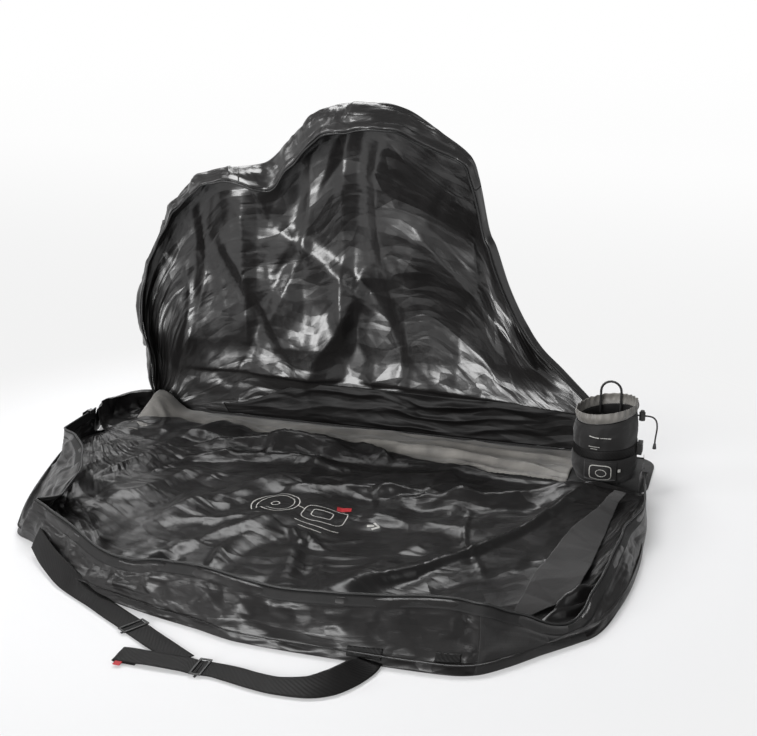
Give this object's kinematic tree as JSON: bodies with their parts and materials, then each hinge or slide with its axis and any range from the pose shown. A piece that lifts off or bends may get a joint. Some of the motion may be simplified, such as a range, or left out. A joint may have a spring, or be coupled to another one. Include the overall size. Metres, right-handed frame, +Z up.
{
  "type": "soft bike travel bag",
  "caption": "Soft clamshell travel bag for a bicycle, open: one half flat, one half upright, stiffened base with a fork pouch, zip and shoulder strap.",
  "frame": {"origin": "middle of the base panel's underside, on the floor", "axes": "+X along the bag towards the fork pouch, +Y from the flat front half to the standing back half, +Z up"},
  "size_m": [1.4845, 1.3413, 0.8828],
  "materials": {
    "coated_cloth": "black polyester with a glossy coating, crinkled",
    "canvas": "plain black canvas, matte",
    "grey_lining": "grey lining cloth, soft sheen",
    "webbing": "black woven webbing, tape and cord",
    "plastic": "black moulded plastic",
    "black_metal": "black lacquered zinc, slightly shiny",
    "spring_steel": "bare spring wire",
    "red_label": "red woven tab",
    "pale_print": "pale sewn patch, blank"
  },
  "bodies": {
    "base": {"base_panel": "coated_cloth", "base_lining": "grey_lining", "front_seam_binding": "webbing", "rear_seam_binding": "webbing", "left_end_fold": "coated_cloth", "right_end_fold": "coated_cloth", "fork_pouch_body": "coated_cloth", "fork_pouch_collar": "grey_lining", "fork_pouch_strap": "webbing", "fork_pouch_patch": "pale_print", "fork_pouch_buckle": "plastic", "fork_pouch_loop": "webbing", "drawcord": "webbing", "drawcord_bead": "plastic"},
    "front_half": {"front_panel": "coated_cloth", "front_gusset_left": "coated_cloth", "front_gusset_top": "coated_cloth", "front_gusset_canvas": "canvas", "front_gusset_right": "coated_cloth", "front_zip_tape": "webbing", "front_zip_coil": "plastic", "front_reinforcement": "canvas", "strap_anchor_left": "canvas", "strap_anchor_right": "canvas", "front_label": "canvas"},
    "back_half": {"back_panel": "coated_cloth", "back_kick_strip": "canvas", "back_gusset_left": "coated_cloth", "back_gusset_top": "coated_cloth", "back_gusset_right": "coated_cloth", "back_zip_tape": "webbing", "back_zip_coil": "plastic"},
    "zip_slider_left": {"zip_slider_left": "black_metal"},
    "zip_slider_right": {"zip_slider_right": "black_metal"},
    "zip_pull_left": {"zip_pull_left": "black_metal"},
    "zip_pull_right": {"zip_pull_right": "black_metal"},
    "shoulder_strap": {"strap_left": "webbing", "strap_right": "webbing", "strap_tail": "webbing", "strap_tab": "red_label", "strap_end_glide": "plastic"},
    "strap_glide": {"strap_running_glide": "plastic"},
    "cord_lock": {"cord_lock_body": "plastic", "cord_lock_spring": "spring_steel"},
    "cord_lock_plunger": {"cord_lock_plunger": "plastic"}
  },
  "joints": [
    {"name": "front_half_fold", "type": "hinge", "parent": "base", "child": "front_half", "pos_m": [0, -0.12, 0.003], "axis": [-1, 0, 0], "range_deg": [0, 85]},
    {"name": "back_half_fold", "type": "hinge", "parent": "base", "child": "back_half", "pos_m": [0, 0.1206, 0.003], "axis": [-1, 0, 0], "range_deg": [0, 80]},
    {"name": "zip_slider_left_slide", "type": "slide", "parent": "front_half", "child": "zip_slider_left", "axis": [-0.0268, -0.9996, 0], "range_m": [0, 0.08]},
    {"name": "zip_slider_right_slide", "type": "slide", "parent": "front_half", "child": "zip_slider_right", "axis": [0.1052, -0.9945, 0], "range_m": [0, 0.075]},
    {"name": "zip_pull_left_swing", "type": "hinge", "parent": "zip_slider_left", "child": "zip_pull_left", "pos_m": [-0.77217, -0.1527, 0.07669], "axis": [-0.1062, 0.0029, -0.9943], "range_deg": [0, 160]},
    {"name": "zip_pull_right_swing", "type": "hinge", "parent": "zip_slider_right", "child": "zip_pull_right", "pos_m": [0.68184, -0.15244, 0.0765], "axis": [-0.0609, -0.0065, 0.9981], "range_deg": [0, 160]},
    {"name": "shoulder_strap_swing", "type": "hinge", "parent": "front_half", "child": "shoulder_strap", "pos_m": [-0.29153, -0.9575, 0.0036], "axis": [-0.9899, 0.1417, 0], "range_deg": [0, 75]},
    {"name": "strap_glide_slide", "type": "slide", "parent": "shoulder_strap", "child": "strap_glide", "axis": [0.8572, -0.515, 0], "range_m": [-0.06, 0.06]},
    {"name": "cord_lock_slide", "type": "slide", "parent": "base", "child": "cord_lock", "axis": [1, 0, 0], "range_m": [0, 0.006]},
    {"name": "cord_lock_press", "type": "slide", "parent": "cord_lock", "child": "cord_lock_plunger", "axis": [0, 0, -1], "range_m": [0, 0.002], "stiffness_N_per_m": 900, "springref_m": -0.002, "deforming": ["cord_lock_spring"]}
  ]
}
